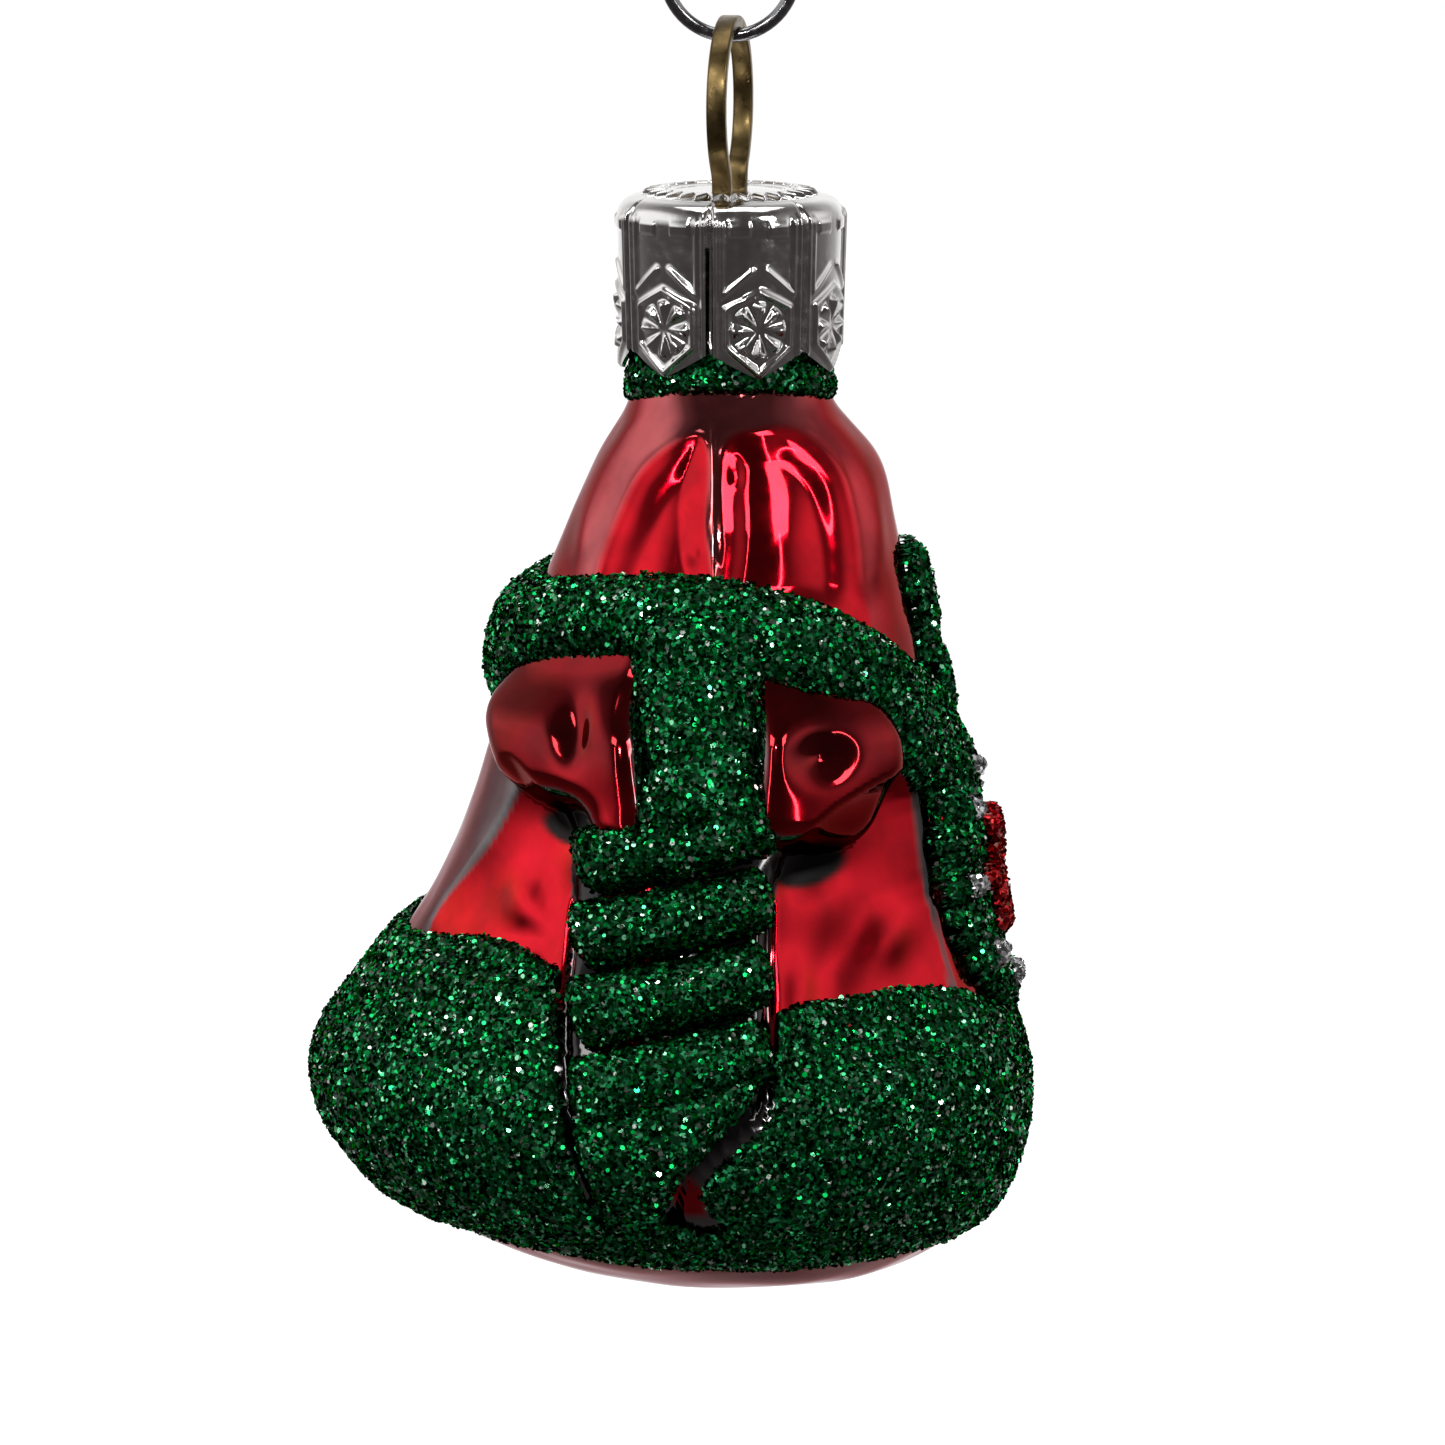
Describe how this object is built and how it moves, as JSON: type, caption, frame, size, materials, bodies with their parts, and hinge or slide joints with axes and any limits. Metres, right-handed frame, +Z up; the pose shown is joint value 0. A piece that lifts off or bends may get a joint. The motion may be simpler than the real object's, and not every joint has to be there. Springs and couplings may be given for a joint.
{
  "type": "christmas bell ornament",
  "caption": "Blown glass bell ornament with crown cap, spring clip loop and wire hook, red mirror finish with green glitter garland, cords and brim.",
  "frame": {"origin": "inside top of the hook's upper bend, where the branch lies", "axes": "+Z up, +X towards the decorated front, the mould seams lie on -Y and +Y and the branch along Y"},
  "size_m": [0.0498, 0.0538, 0.1181],
  "materials": {
    "hook_steel": "dark, smooth drawn wire",
    "clip_brass": "aged, brown-olive",
    "cap_metal": "stamped, shiny",
    "red_glass": "silvered inside and lacquered red, mirror bright",
    "green_glitter": "glued glitter flakes of about 0.3 mm",
    "silver_glitter": "glued glitter flakes",
    "red_glitter": "glued glitter flakes"
  },
  "bodies": {
    "hook": {"wire_hook": "hook_steel"},
    "clip": {"hanger_clip": "clip_brass"},
    "crown_cap": {"cap": "cap_metal"},
    "bell": {"glass_body": "red_glass", "neck_collar": "green_glitter", "ribbon_band": "green_glitter", "brim_coat": "green_glitter", "near_cord_stem": "green_glitter", "near_cord_strands": "green_glitter", "near_cord_tassel": "green_glitter", "far_cord_stem": "green_glitter", "far_cord_strands": "green_glitter", "far_cord_tassel": "green_glitter", "front_bow": "green_glitter", "front_wreath": "green_glitter", "wreath_beads": "silver_glitter", "wreath_flower": "red_glitter"}
  },
  "joints": [
    {"name": "loop_swing", "type": "hinge", "parent": "hook", "child": "clip", "pos_m": [0, 0, -0.03385], "axis": [1, 0, 0], "range_deg": [-85, 85]},
    {"name": "loop_draw", "type": "slide", "parent": "clip", "child": "crown_cap", "axis": [0, 0, -1], "range_m": [0, 0.005]},
    {"name": "cap_pull_off", "type": "slide", "parent": "crown_cap", "child": "bell", "axis": [0, 0, -1], "range_m": [0, 0.018]}
  ]
}
